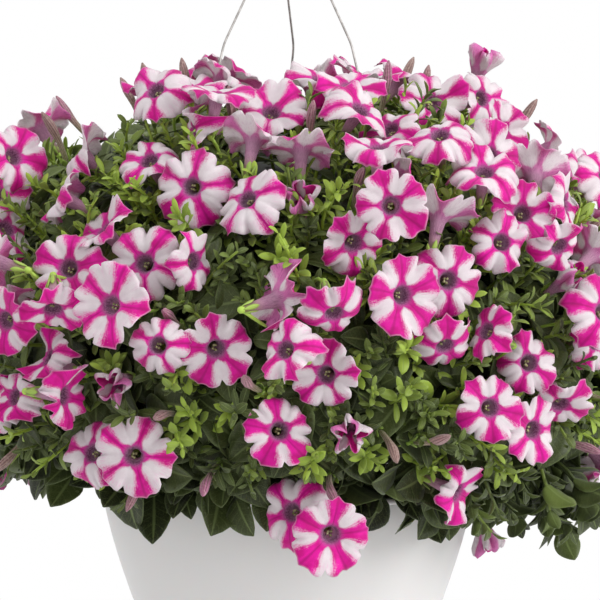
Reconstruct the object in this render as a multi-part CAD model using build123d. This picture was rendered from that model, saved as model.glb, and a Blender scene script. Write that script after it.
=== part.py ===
from build123d import *
import itertools
import math
import os

# A hanging basket: a tapered plastic pot with a clip-on drip saucer, planted with three
# petunias, on a three-strand wire hanger with a swivel hook.
# The origin is the seat of the hook, where a rod or bracket carries it. +Z is up and the
# front faces -Y. All lengths are millimetres, and "height" is counted from the pot's rim.

# ---- driving dimensions ----
HOOK_WIRE_D = 4.0
HOOK_INNER_R = 14.0
SHANK_END_Z = -61.0
PIN_Z = -76.0
PIN_R = 2.0
HANGER_WIRE_D = 1.6
EYE_SPACING = 5.0
RUNNING_GAP = 0.06
PART_GAP = 0.3

RIM_Z = -511.0
RIM_R = 133.2
POT_DEPTH = 168.0
BASE_R = 82.5
WALL = 2.0
LUG_R = 139.0
LUG_HOLE_R = 2.6
SOIL_HEIGHT = -18.0
DRAIN_R = 4.5
POST_R = 8.0

SAUCER_FLOOR = 2.2
SAUCER_RIB = 4.0
SAUCER_R = 92.0
SAUCER_LIP_R = 104.0
SAUCER_WALL_H = 26.0

MOUND_A = 222.0
MOUND_UP = 165.0
MOUND_DOWN = 135.0
MOUND_MIDDLE = 100.0
MOUND_POWER = 2.3
FOLIAGE_THICK = 9.0
SECTOR_DEG = 113.0
FLOWER_LIFT = 29.0
FLOWER_CLEAR = 2.0
FLOWER_R = 24.0
FLOWER_SPACING = 46.0
FLOWER_GAP = 1.2
# Beyond these two sides the mound slopes down, and its highest flowers are missing.
SHOULDERS = (-105.0, 150.0)
SHOULDER_HEIGHT = 222.0

# The eye of a person standing before the basket: sideways, height and distance.
VIEW_X = 8.5
VIEW_HEIGHT = 248.0
VIEW_DISTANCE = 2300.0

# Degrees from one place to the next when the mound is filled evenly.
GOLDEN_TURN = 137.508

# Each plant fills the third of the mound between two hanger wires.
PLANTS = {"front": 270.0, "right": 30.0, "left": 150.0}
WIRES = {"left": 210.0, "right": 330.0, "back": 90.0}

RIM = Vector(0, 0, RIM_Z)
EYE = RIM + Vector(VIEW_X, -VIEW_DISTANCE, VIEW_HEIGHT)


# ---- helpers ----
def polar(radius, azimuth, height, sideways=0.0):
    """A point by radius and azimuth about the axis, at a height over the rim."""
    a = math.radians(azimuth)
    x = radius * math.cos(a) - sideways * math.sin(a)
    y = radius * math.sin(a) + sideways * math.cos(a)
    return RIM + Vector(x, y, height)


def tube(points, radius, bend):
    """A round wire or stem along straight runs joined by tangent arcs."""
    path = FilletPolyline(*points, radius=bend)
    section = Plane(origin=path @ 0, z_dir=path % 0) * Circle(radius)
    return sweep(section, path=path)


def revolved(*edges):
    """A solid of revolution about Z from edges drawn in the XZ plane."""
    return revolve(make_face(Wire(list(edges))), Axis.Z)


def ring(inner, outer, low, high):
    """A plain ring or disc about Z between two heights of the model."""
    body = Pos(0, 0, (low + high) / 2) * Cylinder(outer, high - low)
    if inner > 0:
        body -= Pos(0, 0, (low + high) / 2) * Cylinder(inner, high - low + 2)
    return body


def mound_profile(angle, grow=0.0):
    """Radius and height of the mound's outline at an angle up from its widest line."""
    t = math.radians(angle)
    power = 2 / MOUND_POWER
    up = MOUND_UP if angle >= 0 else MOUND_DOWN
    radius = (MOUND_A + grow) * math.cos(t) ** power
    rise = (up + grow) * abs(math.sin(t)) ** power
    return radius, MOUND_MIDDLE + math.copysign(rise, angle)


def mound_place(azimuth, angle, grow=0.0):
    """A point on the mound and the outward normal there."""
    radius, height = mound_profile(angle, grow)
    r_a, h_a = mound_profile(angle - 0.5, grow)
    r_b, h_b = mound_profile(angle + 0.5, grow)
    a = math.radians(azimuth)
    out, up = h_b - h_a, r_a - r_b
    normal = Vector(out * math.cos(a), out * math.sin(a), up).normalized()
    return polar(radius, azimuth, height), normal


def seen_from_front(x, height):
    """The mound's point that a viewer before the basket sees at x and height on its axis plane."""
    depth = 0.0
    for _ in range(12):
        near = (VIEW_DISTANCE - depth) / VIEW_DISTANCE
        level = VIEW_HEIGHT + (height - VIEW_HEIGHT) * near - MOUND_MIDDLE
        limit = (MOUND_UP if level > 0 else MOUND_DOWN) + FLOWER_LIFT
        share = min(0.97, abs(level) / limit)
        radius = (MOUND_A + FLOWER_LIFT) * (1 - share**MOUND_POWER) ** (1 / MOUND_POWER)
        side = VIEW_X + (x - VIEW_X) * near
        depth = math.sqrt(max(0.0, radius**2 - side**2))
    angle = math.degrees(math.asin(share ** (MOUND_POWER / 2)))
    azimuth = math.degrees(math.atan2(-depth, side)) % 360
    return azimuth, math.copysign(angle, level)


def nearest_plant(azimuth):
    """The plant whose third of the circle holds this azimuth."""
    def away(name):
        return abs((azimuth - PLANTS[name] + 180) % 360 - 180)

    return min(PLANTS, key=away)


# ---- hook and swivel ----
def hanger_hook():
    """An open hook bent from thick wire, with a headed shank for the swivel."""
    bend = HOOK_INNER_R + HOOK_WIRE_D / 2
    top = HOOK_WIRE_D / 2
    route = [
        Vector(-bend - 5, 0, -29),
        Vector(-bend, 0, -20),
        Vector(-bend, 0, top),
        Vector(bend, 0, top),
        Vector(bend, 0, -24),
        Vector(0, 0, -40),
        Vector(0, 0, SHANK_END_Z + 1),
    ]
    path = FilletPolyline(*route, radius=[4, bend - 0.01, bend - 0.01, 9, 9])
    section = Plane(origin=path @ 0, z_dir=path % 0) * Circle(HOOK_WIRE_D / 2)
    hook = sweep(section, path=path)
    hook += Pos(*(path @ 0)) * Sphere(HOOK_WIRE_D / 2)
    hook += ring(0, 4.2, SHANK_END_Z, SHANK_END_Z + 3)
    return hook


WASHER_LOW = SHANK_END_Z + 3 + 0.1
PLATE_LOW = WASHER_LOW + 1.1
PLATE_THICK = 2.0
SHANK_HOLE_R = HOOK_WIRE_D / 2 + RUNNING_GAP
YOKE_HALF = 11.0
YOKE_DEPTH = 12.0


def swivel_washer():
    """The thrust washer between the shank's head and the yoke."""
    return ring(SHANK_HOLE_R, 4.6, WASHER_LOW, WASHER_LOW + 1.0)


def swivel_yoke():
    """A strip bent into an upside-down U that turns on the hook's shank."""
    plate_top = PLATE_LOW + PLATE_THICK
    foot = PIN_Z - 5.5
    middle = (plate_top + foot) / 2
    outside = Box(2 * YOKE_HALF, YOKE_DEPTH, plate_top - foot)
    outside = fillet(outside.edges().filter_by(Axis.Y).group_by(Axis.Z)[-1], 4)
    inside = Box(2 * (YOKE_HALF - PLATE_THICK), YOKE_DEPTH + 2, plate_top - foot)
    inside = fillet(inside.edges().filter_by(Axis.Y).group_by(Axis.Z)[-1], 2)
    yoke = Pos(0, 0, middle) * outside - Pos(0, 0, middle - PLATE_THICK) * inside
    ends = yoke.edges().filter_by(Axis.X).group_by(Axis.Z)[0]
    yoke = fillet(ends, 5)
    yoke -= Pos(0, 0, PLATE_LOW) * Cylinder(SHANK_HOLE_R, 8)
    yoke -= Pos(0, 0, PIN_Z) * Rot(0, 90, 0) * Cylinder(PIN_R + 0.03, 40)
    return yoke


def yoke_pin():
    """The riveted cross pin that carries the three wire eyes."""
    pin = Pos(0, 0, PIN_Z) * Rot(0, 90, 0) * Cylinder(PIN_R, 2 * YOKE_HALF + 2)
    for side in (-1, 1):
        x = side * (YOKE_HALF + 0.9)
        pin += Pos(x, 0, PIN_Z) * Rot(0, 90, 0) * Cylinder(3.6, 1.7)
    return pin


# ---- hanger wires ----
# Radius and height of the bends that the foliage presses into a strand.
STRAND_BENDS = [(34, 342), (50, 309), (61, 272)]


def hanger_wire(azimuth, eye_x, sideways):
    """One strand: an eye round the yoke pin, a wrap, the strand and a hook through its lug."""
    half = HANGER_WIRE_D / 2
    eye_r = PIN_R + RUNNING_GAP + half
    eye = Vector(eye_x, 0, PIN_Z)
    wire = Pos(*eye) * Rot(0, 90, 0) * Torus(eye_r, half)
    bends = [polar(r, azimuth, h, s) for (r, h), s in zip(STRAND_BENDS, sideways)]
    route = [eye - Vector(0, 0, eye_r), eye - Vector(0, 0, eye_r + 12), *bends]
    route += [
        polar(LUG_R, azimuth, 22),
        polar(LUG_R, azimuth, -10),
        polar(LUG_R + 9, azimuth, -10),
        polar(LUG_R + 9, azimuth, 2),
    ]
    path = FilletPolyline(*route, radius=[14, 40, 40, 30, 20, 3.5, 3.5])
    section = Plane(origin=path @ 0, z_dir=path % 0) * Circle(half)
    wire += sweep(section, path=path)
    for turn in range(4):
        drop = eye_r + half + 1.2 + turn * HANGER_WIRE_D * 0.96
        wire += Pos(*(eye - Vector(0, 0, drop))) * Torus(HANGER_WIRE_D * 0.95, half)
    return wire


# ---- pot, saucer and soil ----
def pot_wall(inset):
    """Points of the pot's wall from the base up, moved inwards by inset."""
    return [
        Vector(BASE_R - inset, 0, RIM_Z - POT_DEPTH),
        Vector(110.0 - inset, 0, RIM_Z - 85),
        Vector(125.3 - inset, 0, RIM_Z - 38),
        Vector(RIM_R - inset, 0, RIM_Z),
    ]


def pot_shell():
    """The tapered pot with a thin rolled rim, three wire lugs and drain holes."""
    outer = pot_wall(0)
    shell = revolved(
        Line(Vector(0, 0, outer[0].Z), outer[0]),
        Spline(*outer),
        Line(outer[-1], Vector(0, 0, outer[-1].Z)),
        Line(Vector(0, 0, outer[-1].Z), Vector(0, 0, outer[0].Z)),
    )
    inner = [p + Vector(0, 0, WALL) for p in pot_wall(WALL)]
    shell -= revolved(
        Line(Vector(0, 0, inner[0].Z), inner[0]),
        Spline(*inner),
        Line(inner[-1], Vector(0, 0, inner[-1].Z)),
        Line(Vector(0, 0, inner[-1].Z), Vector(0, 0, inner[0].Z)),
    )
    shell += Pos(0, 0, RIM_Z - 2.4) * Torus(RIM_R - 0.6, 2.4)
    for azimuth in WIRES.values():
        lug = Pos(LUG_R - 3.5, 0, RIM_Z - 3.2) * Box(17, 14, 3.6)
        lug = fillet(lug.edges().filter_by(Axis.Z).group_by(Axis.X)[-1], 5)
        lug -= Pos(LUG_R, 0, RIM_Z) * Cylinder(LUG_HOLE_R, 20)
        lug -= ring(0, RIM_R - 4, RIM_Z - 12, RIM_Z + 4)
        shell += Rot(0, 0, azimuth) * lug
    base_z = RIM_Z - POT_DEPTH
    shell -= ring(0, POST_R + 0.08, base_z - 2, base_z + WALL + 2)
    for angle in range(0, 360, 60):
        hole = Pos(BASE_R * 0.62, 0, base_z) * Cylinder(DRAIN_R, 8)
        shell -= Rot(0, 0, angle) * hole
    return shell


def drip_saucer():
    """A round saucer under the pot, held by a split post that presses into the base."""
    top_of_rib = RIM_Z - POT_DEPTH - PART_GAP
    floor_top = top_of_rib - SAUCER_RIB
    floor_low = floor_top - SAUCER_FLOOR
    lip_z = floor_low + SAUCER_WALL_H
    outline = [
        Vector(0, 0, floor_low),
        Vector(SAUCER_R - 8, 0, floor_low),
        Vector(SAUCER_R, 0, floor_low + 5),
        Vector(SAUCER_LIP_R - 1.6, 0, lip_z - 3),
        Vector(SAUCER_LIP_R + 1.5, 0, lip_z - 3),
        Vector(SAUCER_LIP_R + 1.5, 0, lip_z),
        Vector(SAUCER_LIP_R - 2.5, 0, lip_z),
        Vector(SAUCER_R - 2.4, 0, floor_low + 6),
        Vector(SAUCER_R - 9, 0, floor_top),
        Vector(0, 0, floor_top),
    ]
    saucer = revolve(make_face(Polyline(*outline, close=True)), Axis.Z)
    for angle in range(0, 360, 45):
        rib = Pos(48, 0, floor_top + SAUCER_RIB / 2 - 0.05) * Box(50, 3, SAUCER_RIB + 0.1)
        saucer += Rot(0, 0, angle + 22.5) * rib
    post = ring(POST_R - 2.2, POST_R, floor_top - 0.5, top_of_rib + 11)
    post -= Pos(0, 0, top_of_rib + 6) * Box(2 * POST_R + 4, 2.4, 12)
    return saucer + post


PLUG_RING_R = 62.0
PLUG_TOP_R = 32.0
PLUG_LOW_R = 26.0
PLUG_DEPTH = 60.0


def root_plug(azimuth, grow=0.0):
    """The tapered root ball of one young plant, or its hole in the soil."""
    top = RIM_Z + SOIL_HEIGHT + (4 if grow else 0)
    low = RIM_Z + SOIL_HEIGHT - PLUG_DEPTH - grow
    slope = (PLUG_TOP_R - PLUG_LOW_R) / PLUG_DEPTH
    top_r = PLUG_TOP_R + grow + slope * (top - RIM_Z - SOIL_HEIGHT)
    plug = Pos(0, 0, (top + low) / 2) * Cone(PLUG_LOW_R + grow, top_r, top - low)
    return Rot(0, 0, azimuth) * Pos(PLUG_RING_R, 0, 0) * plug


def potting_soil():
    """The potting mix that fills the pot round the three root balls."""
    inset = WALL + 0.6
    wall = [p + Vector(0, 0, WALL) for p in pot_wall(inset)]
    low = wall[0].Z + PART_GAP
    top = RIM_Z + SOIL_HEIGHT
    soil = revolved(
        Line(Vector(0, 0, wall[0].Z), wall[0]),
        Spline(*wall),
        Line(wall[-1], Vector(0, 0, wall[-1].Z)),
        Line(Vector(0, 0, wall[-1].Z), Vector(0, 0, wall[0].Z)),
    )
    soil &= ring(0, RIM_R, low, top)
    soil -= ring(0, POST_R + 3, low - 5, low + 14)
    for azimuth in PLANTS.values():
        soil -= root_plug(azimuth, PART_GAP)
    return soil


# ---- plants ----
STEMS_PER_PLANT = 11


def plant_stems(azimuth):
    """A woody crown and the stems that fan out from it to the foliage."""
    foot = polar(PLUG_RING_R, azimuth, SOIL_HEIGHT + PART_GAP)
    crown = Pos(*(foot + Vector(0, 0, 7))) * Cone(9, 5, 14)
    top = foot + Vector(0, 0, 9)
    for i in range(STEMS_PER_PLANT):
        share = (i + 0.5) / STEMS_PER_PLANT
        turn = azimuth - 46 + 92 * ((i * 0.618) % 1)
        angle = 72 - 92 * share
        radius, height = mound_profile(angle, -FOLIAGE_THICK - 6)
        knee_r = PLUG_RING_R + (radius - PLUG_RING_R) * 0.45
        knee = polar(knee_r, azimuth + (turn - azimuth) * 0.55, max(24, height * 0.62))
        crown += tube([top, knee, polar(radius, turn, max(height, 8))], 1.5, 30)
    return crown


def foliage(azimuth):
    """One plant's share of the dome of leaves, as a thick shell."""
    angles = [84, 70, 52, 34, 16, 0, -14, -28, -42]
    outer = [mound_profile(angle) for angle in angles]
    inner = [mound_profile(angle, -FOLIAGE_THICK) for angle in reversed(angles)]
    outer_points = [Vector(r, 0, RIM_Z + h) for r, h in outer]
    inner_points = [Vector(r, 0, RIM_Z + h) for r, h in inner]
    face = make_face(
        Wire([
            Spline(*outer_points),
            Line(outer_points[-1], inner_points[0]),
            Spline(*inner_points),
            Line(inner_points[-1], outer_points[0]),
        ])
    )
    shell = revolve(face, Axis.Z, SECTOR_DEG)
    return Rot(0, 0, azimuth - SECTOR_DEG / 2) * shell


def flower_master():
    """One open corolla on its tube, standing along +Z from its calyx at the origin."""
    outline = [
        (0, 0), (2.2, 0), (3.0, 10), (5.0, 20), (9, 25), (25, FLOWER_LIFT - 0.6),
        (25, FLOWER_LIFT + 0.6), (8, 27), (2.5, 20), (0, 18),
    ]
    body = revolve(make_face(Polyline(*[Vector(r, 0, z) for r, z in outline], close=True)), Axis.Z)
    lobes = Circle(FLOWER_R * 0.66)
    for i in range(5):
        lobes += Rot(0, 0, 72 * i) * Pos(FLOWER_R * 0.52, 0, 0) * Circle(FLOWER_R * 0.48)
    return body & extrude(lobes, FLOWER_LIFT + 6)


def bud_master():
    """One long pointed bud with its calyx, along +Z from the origin."""
    outline = [(0, 0), (2.0, 0), (2.6, 8), (2.2, 18), (3.4, 30), (2.4, 38), (0, BUD_LENGTH)]
    points = [Vector(r, 0, z) for r, z in outline]
    return revolve(make_face(Polyline(*points, close=True)), Axis.Z)


def spent_master():
    """One faded corolla folded into a loose cone, along +Z from the origin."""
    outline = [
        (0, 0), (2.0, 0), (2.4, 12), (6, 20), (SPENT_WIDTH, 31), (9, SPENT_LENGTH), (3, 27), (0, 26),
    ]
    points = [Vector(r, 0, z) for r, z in outline]
    return revolve(make_face(Polyline(*points, close=True)), Axis.Z)


# The ways a flower on the front can turn, for a viewer there.
TURNS = {
    "left": Vector(-0.55, -0.8, 0.1),
    "right": Vector(0.55, -0.8, 0.1),
    "up": Vector(0, -0.5, 0.8),
    "down": Vector(0.1, -0.7, -0.6),
    "side_left": Vector(-0.9, -0.35, 0.1),
    "side_right": Vector(0.9, -0.35, 0.1),
    "back": Vector(0, 0.6, 0.6),
    "back_left": Vector(-0.75, 0.4, 0.4),
    "back_right": Vector(0.75, 0.4, 0.4),
}

# Open flowers on the front of the mound by the way they turn, as x and height on the
# basket's axis plane.
FRONT_FLOWERS = {
    "back_left": [(-176, 250), (-148, 234), (-162, 202), (-197, 122), (-199, 153)],
    "back_right": [(-43, 286), (125, 287), (83, 217), (-4, 129), (186, 232)],
    "back": [(-66, 283), (-23, 244), (9, 236), (172, 219), (207, 226), (107, 191), (215, 161)],
    "side_left": [(-133, 181), (-70, 244), (-172, 89)],
    "side_right": [(124, -10), (-154, 60), (200, 196)],
    "down": [(111, 94), (48, 166), (33, 116), (-50, 93), (-161, 117), (193, 51)],
    "left": [(-4, 94), (-205, 200), (70, 250), (-179, 63), (-204, 57), (-139, 21), (0, -21), (138, 107)],
    "right": [
        (-186, 226), (-196, 180), (218, 99), (138, 270), (153, 247), (142, 229), (-63, 155), (175, 36),
    ],
    "front": [
        (-84, 263), (-99, 229), (-68, 207), (-102, 154), (-156, 151), (-129, 124),
        (-92, 96), (-109, 18), (-6, 36), (29, -26), (83, 131), (104, 140),
        (151, 169), (172, 190), (103, 268), (62, 187), (143, 52), (170, 84), (213, 206),
        (211, 119), (-190, 112), (193, 163), (-30, 200), (20, 75),
    ],
    "up": [
        (60, 229), (-53, 264), (-11, 256), (24, 284), (44, 281), (53, 264),
        (101, 234), (131, 212),
    ],
}

# Faded flowers that have folded shut, as x and height.
FRONT_SPENT = [
    (202, 135), (-119, 200), (-11, 220), (46, 36), (-47, 169), (12, 199), (75, 169),
    (-125, 70), (188, -40),
]

# How far a flower may stand out over its neighbours, towards the viewer and away from the
# leaves, and how far it may shift.
RAISES = (
    (0, 0), (8, 0), (16, 0), (0, 7), (24, 0), (12, 10), (0, 14), (32, 0), (24, 14), (40, 6), (-12, 8),
)
SHIFTS = ((0, 0), (6, 0), (-6, 0), (0, 6), (0, -6))

# Round the back and over the top, flowers fill what the front list leaves open.
FILL_STEPS = 900
FILL_REACH = 1.62
FILL_TOP_ANGLE = 78.0
FRONT_SECTOR = (195.0, 345.0)
FRONT_TOP_ANGLE = 70.0
WIRE_GAP = 3.0


def flower_outline():
    """Sample points of an open flower's solid, as sideways, other way and along its facing."""
    points = [(0, 0, -step) for step in range(8, 30, 4)]
    for radius, drop in ((FLOWER_R + 0.5, 0), (19, 2), (13, 4), (7, 7)):
        for step in range(20):
            turn = math.radians(18 * step)
            points.append((radius * math.cos(turn), radius * math.sin(turn), -drop))
    return points


OUTLINE = flower_outline()


def stretch_of_wires():
    """Points along the strands where they leave the foliage."""
    points = []
    for azimuth in WIRES.values():
        knots = [polar(r, azimuth, h) for r, h in [(4, 400), *STRAND_BENDS, (72, 235)]]
        for start, end in zip(knots, knots[1:]):
            steps = math.ceil((end - start).length / 3)
            points += [start + (end - start) * (step / steps) for step in range(steps)]
    return [tuple(point) for point in points]


WIRE_POINTS = stretch_of_wires()


class Bloom:
    """Where one open flower sits: its centre, its facing and its sample points."""

    def __init__(self, centre, direction):
        self.centre = centre
        self.direction = direction
        across = direction.cross(Vector(0.31, 0.17, 0.93)).normalized()
        other = direction.cross(across)
        self.samples = [
            tuple(centre + across * a + other * b + direction * c) for a, b, c in OUTLINE
        ]
        self.c = tuple(centre)
        self.d = tuple(direction)

    def holds(self, point, gap):
        """Whether a point lies in this flower's solid or within the gap of it."""
        v = [p - c for p, c in zip(point, self.c)]
        along = sum(a * b for a, b in zip(v, self.d))
        across = math.sqrt(max(0.0, sum(a * a for a in v) - along**2))
        if across < FLOWER_R + gap:
            deep = 9 * (1 - across / FLOWER_R)
            if -deep - 1 - gap < along < 1 + gap:
                return True
        return across < 5 + gap and -FLOWER_LIFT - gap < along < 0

    def meets(self, other):
        """Whether two flowers would touch."""
        if (self.centre - other.centre).length > 2 * FLOWER_R + FLOWER_LIFT:
            return False
        mine = any(other.holds(point, FLOWER_GAP) for point in self.samples)
        return mine or any(self.holds(point, FLOWER_GAP) for point in other.samples)


def turned(normal, turn):
    """The facing of a flower on the front: a named turn, or most of the way to the viewer."""
    if turn == "front":
        return (normal * 0.45 + Vector(0, -0.62, 0.06)).normalized()
    return (TURNS[turn] + normal * 0.15).normalized()


def flower_places():
    """Every open flower, none touching another or a wire."""
    blooms = []

    def fits(bloom):
        if any(bloom.holds(point, WIRE_GAP) for point in WIRE_POINTS):
            return False
        return not any(bloom.meets(other) for other in blooms)

    def front_bloom(turn, x, height):
        for right, up in SHIFTS:
            azimuth, angle = seen_from_front(x + right, height + up)
            seat, normal = mound_place(azimuth, angle, FLOWER_LIFT + FLOWER_CLEAR)
            sight = (EYE - seat).normalized()
            for near, out in RAISES:
                bloom = Bloom(seat + sight * near + normal * out, turned(normal, turn))
                if fits(bloom):
                    return bloom
        return None

    for turn, spots in FRONT_FLOWERS.items():
        for x, height in spots:
            bloom = front_bloom(turn, x, height)
            if bloom:
                blooms.append(bloom)
    for i in range(FILL_STEPS):
        angle = math.degrees(math.asin(1 - FILL_REACH * (i + 0.5) / FILL_STEPS))
        azimuth = (i * GOLDEN_TURN) % 360
        in_front = FRONT_SECTOR[0] < azimuth < FRONT_SECTOR[1] and angle < FRONT_TOP_ANGLE
        if angle > FILL_TOP_ANGLE or in_front:
            continue
        centre, normal = mound_place(azimuth, angle, FLOWER_LIFT + FLOWER_CLEAR)
        on_shoulder = not SHOULDERS[0] < centre.X < SHOULDERS[1]
        if on_shoulder and centre.Z - RIM_Z > SHOULDER_HEIGHT:
            continue
        if any((centre - other.centre).length < FLOWER_SPACING for other in blooms):
            continue
        bloom = Bloom(centre, normal)
        if fits(bloom):
            blooms.append(bloom)
    return blooms


def facing(location, direction, roll):
    """Places a solid drawn along +Z so that it points in a direction."""
    return Plane(origin=location, z_dir=direction).location * Rot(0, 0, roll)


# Height over the rim that parts the upper, middle and lower flowers.
UPPER_FLOWERS = 215.0
LOWER_FLOWERS = 90.0


def flower_groups(blooms):
    """Open flowers as solids, by plant and by level."""
    master = flower_master()
    groups = {}
    for i, bloom in enumerate(blooms):
        centre = bloom.centre
        height = centre.Z - RIM_Z
        level = "upper" if height > UPPER_FLOWERS else "middle"
        level = "lower" if height < LOWER_FLOWERS else level
        azimuth = math.degrees(math.atan2(centre.Y, centre.X)) % 360
        name = f"flowers_{nearest_plant(azimuth)}_{level}"
        seat = centre - bloom.direction * FLOWER_LIFT
        groups.setdefault(name, []).append(facing(seat, bloom.direction, 41 * i) * master)
    return groups


BUDS = 54
BUD_LENGTH = 44.0
# Long buds that stand out at the top of the front: x, height and the way they point.
FRONT_BUDS = [
    (150, 255, Vector(0.9, -0.2, 0.25)),
    (-148, 240, Vector(0.6, -0.2, 0.7)),
    (-40, 268, Vector(0.8, -0.2, 0.45)),
    (-20, 60, Vector(-0.2, -0.9, 0.3)),
    (95, 20, Vector(0.5, -0.8, 0.2)),
]
BUD_STEPS = 1400
BUD_REACH = 1.5
BUD_SKIP = 0.7549
BUD_TOP_ANGLE = 76.0
BUD_WIDTH = 4.0
SPENT_LENGTH = 34.0
SPENT_WIDTH = 11.0
SPENT_BACK_STEP = 23
SPENT_LIFTS = (3, 15, 27)
SPENT_TIPS = (0.0, -0.45, 0.45)


def room_for(seat, direction, length, width, blooms, others):
    """Whether a slim solid stands clear of the open flowers, the wires and the others."""
    for step in range(0, int(length) + 1, 4):
        point = tuple(seat + direction * step)
        if any(bloom.holds(point, width) for bloom in blooms):
            return False
    middle = seat + direction * (length / 2)
    if any((middle - other).length < length * 0.6 for other in others):
        return False
    return all((middle - Vector(*point)).length > length * 0.6 for point in WIRE_POINTS)


def spent_groups(blooms, taken):
    """Faded flowers that have folded shut, by plant."""
    master = spent_master()
    groups = {}
    seats = [seen_from_front(x, height) for x, height in FRONT_SPENT]
    seats += [((i * GOLDEN_TURN) % 360, 62 - 8 * (i % 13)) for i in range(0, 400, SPENT_BACK_STEP)]
    for i, (azimuth, angle) in enumerate(seats):
        _, normal = mound_place(azimuth, angle)
        if i >= len(FRONT_SPENT) and normal.Y < -0.3:
            continue
        for lift, tip in itertools.product(SPENT_LIFTS, SPENT_TIPS):
            seat, _ = mound_place(azimuth, angle, lift)
            direction = (normal + Vector(0, 0, tip)).normalized()
            if room_for(seat, direction, SPENT_LENGTH, SPENT_WIDTH, blooms, taken):
                solid = facing(seat, direction, 0) * master
                groups.setdefault(f"spent_flowers_{nearest_plant(azimuth)}", []).append(solid)
                taken.append(seat + direction * (SPENT_LENGTH / 2))
                break
    return groups


def bud_groups(blooms, taken):
    """Long buds that stand between the flowers, by plant."""
    master = bud_master()
    groups = {}
    wanted = []
    for x, height, direction in FRONT_BUDS:
        azimuth, angle = seen_from_front(x, height)
        seat, _ = mound_place(azimuth, angle, FLOWER_LIFT / 2)
        wanted.append((azimuth, seat, direction.normalized()))
    for i in range(BUD_STEPS):
        share = 1 - BUD_REACH * ((i * BUD_SKIP) % 1)
        azimuth = (i * GOLDEN_TURN + 20) % 360
        angle = min(BUD_TOP_ANGLE, math.degrees(math.asin(share)))
        seat, normal = mound_place(azimuth, angle, 3)
        direction = (normal + Vector(0, 0, 0.35 * math.sin(i * 1.7))).normalized()
        wanted.append((azimuth, seat, direction))
    count = 0
    for azimuth, seat, direction in wanted:
        if count == BUDS or not room_for(seat, direction, BUD_LENGTH, BUD_WIDTH, blooms, taken):
            continue
        solid = facing(seat, direction, 0) * master
        groups.setdefault(f"buds_{nearest_plant(azimuth)}", []).append(solid)
        taken.append(seat + direction * (BUD_LENGTH / 2))
        count += 1
    return groups


def write(name, shape):
    """One STEP file for one named part."""
    export_step(shape, f"parts/{name}.step")


def main():
    os.makedirs("parts", exist_ok=True)
    write("hanger_hook", hanger_hook())
    write("swivel_washer", swivel_washer())
    write("swivel_yoke", swivel_yoke())
    write("yoke_pin", yoke_pin())
    write("hanger_wire_left", hanger_wire(WIRES["left"], -EYE_SPACING, (0, -3, 0)))
    write("hanger_wire_right", hanger_wire(WIRES["right"], EYE_SPACING, (0, 2, 0)))
    write("hanger_wire_back", hanger_wire(WIRES["back"], 0.0, (0, -4, 0)))
    write("pot_shell", pot_shell())
    write("drip_saucer", drip_saucer())
    write("potting_soil", potting_soil())
    for name, azimuth in PLANTS.items():
        write(f"root_plug_{name}", root_plug(azimuth))
        write(f"stems_{name}", plant_stems(azimuth))
        write(f"foliage_{name}", foliage(azimuth))
    blooms = flower_places()
    taken = []
    spent = spent_groups(blooms, taken)
    groups = {**flower_groups(blooms), **spent, **bud_groups(blooms, taken)}
    for name, solids in groups.items():
        write(name, Compound(children=solids))
        print(name, len(solids))
    print("open flowers", len(blooms))


main()
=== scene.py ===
import math

import bpy
import numpy as np
from mathutils import Matrix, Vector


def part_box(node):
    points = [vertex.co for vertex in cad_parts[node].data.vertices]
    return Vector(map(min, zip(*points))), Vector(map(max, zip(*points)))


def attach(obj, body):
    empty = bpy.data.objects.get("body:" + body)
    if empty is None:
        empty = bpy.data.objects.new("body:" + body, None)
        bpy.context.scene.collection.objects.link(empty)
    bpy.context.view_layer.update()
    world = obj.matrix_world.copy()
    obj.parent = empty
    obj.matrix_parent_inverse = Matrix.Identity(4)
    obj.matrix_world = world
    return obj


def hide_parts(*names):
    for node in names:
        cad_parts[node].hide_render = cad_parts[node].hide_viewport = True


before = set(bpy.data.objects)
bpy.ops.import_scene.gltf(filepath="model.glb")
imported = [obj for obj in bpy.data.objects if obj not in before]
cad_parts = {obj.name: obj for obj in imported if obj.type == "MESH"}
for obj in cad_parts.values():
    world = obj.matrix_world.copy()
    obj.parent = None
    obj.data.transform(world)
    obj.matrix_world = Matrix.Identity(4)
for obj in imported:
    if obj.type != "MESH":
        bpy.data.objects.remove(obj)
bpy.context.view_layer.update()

# The looks of a hanging basket of petunias: corollas, buds, calyces, leaves and side shoots are
# grown here on the mound that the CAD frame gives. Lengths are metres.

MM = 0.001
rng = np.random.default_rng(11)


# ---- the frame ----
def corner(node, end, axis):
    """One coordinate of a CAD node's box: end 0 is low and 1 is high."""
    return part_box(node)[end][axis]


WIRE_BELOW_RIM = 11 * MM
RIM_Z = corner("hanger_wire_back", 0, 2) + WIRE_BELOW_RIM
AXIS = np.array([0.0, 0.0, RIM_Z])
MOUND_MIDDLE = 100 * MM
MOUND_POWER = 2.3
MOUND_A = -corner("foliage_front", 0, 1)
MOUND_UP = corner("foliage_front", 1, 2) - RIM_Z - MOUND_MIDDLE
MOUND_DOWN = 135 * MM
PLANTS = {"front": 270.0, "right": 30.0, "left": 150.0}
SLOPE_STEP = 0.5
WELD = 0.02 * MM


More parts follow.
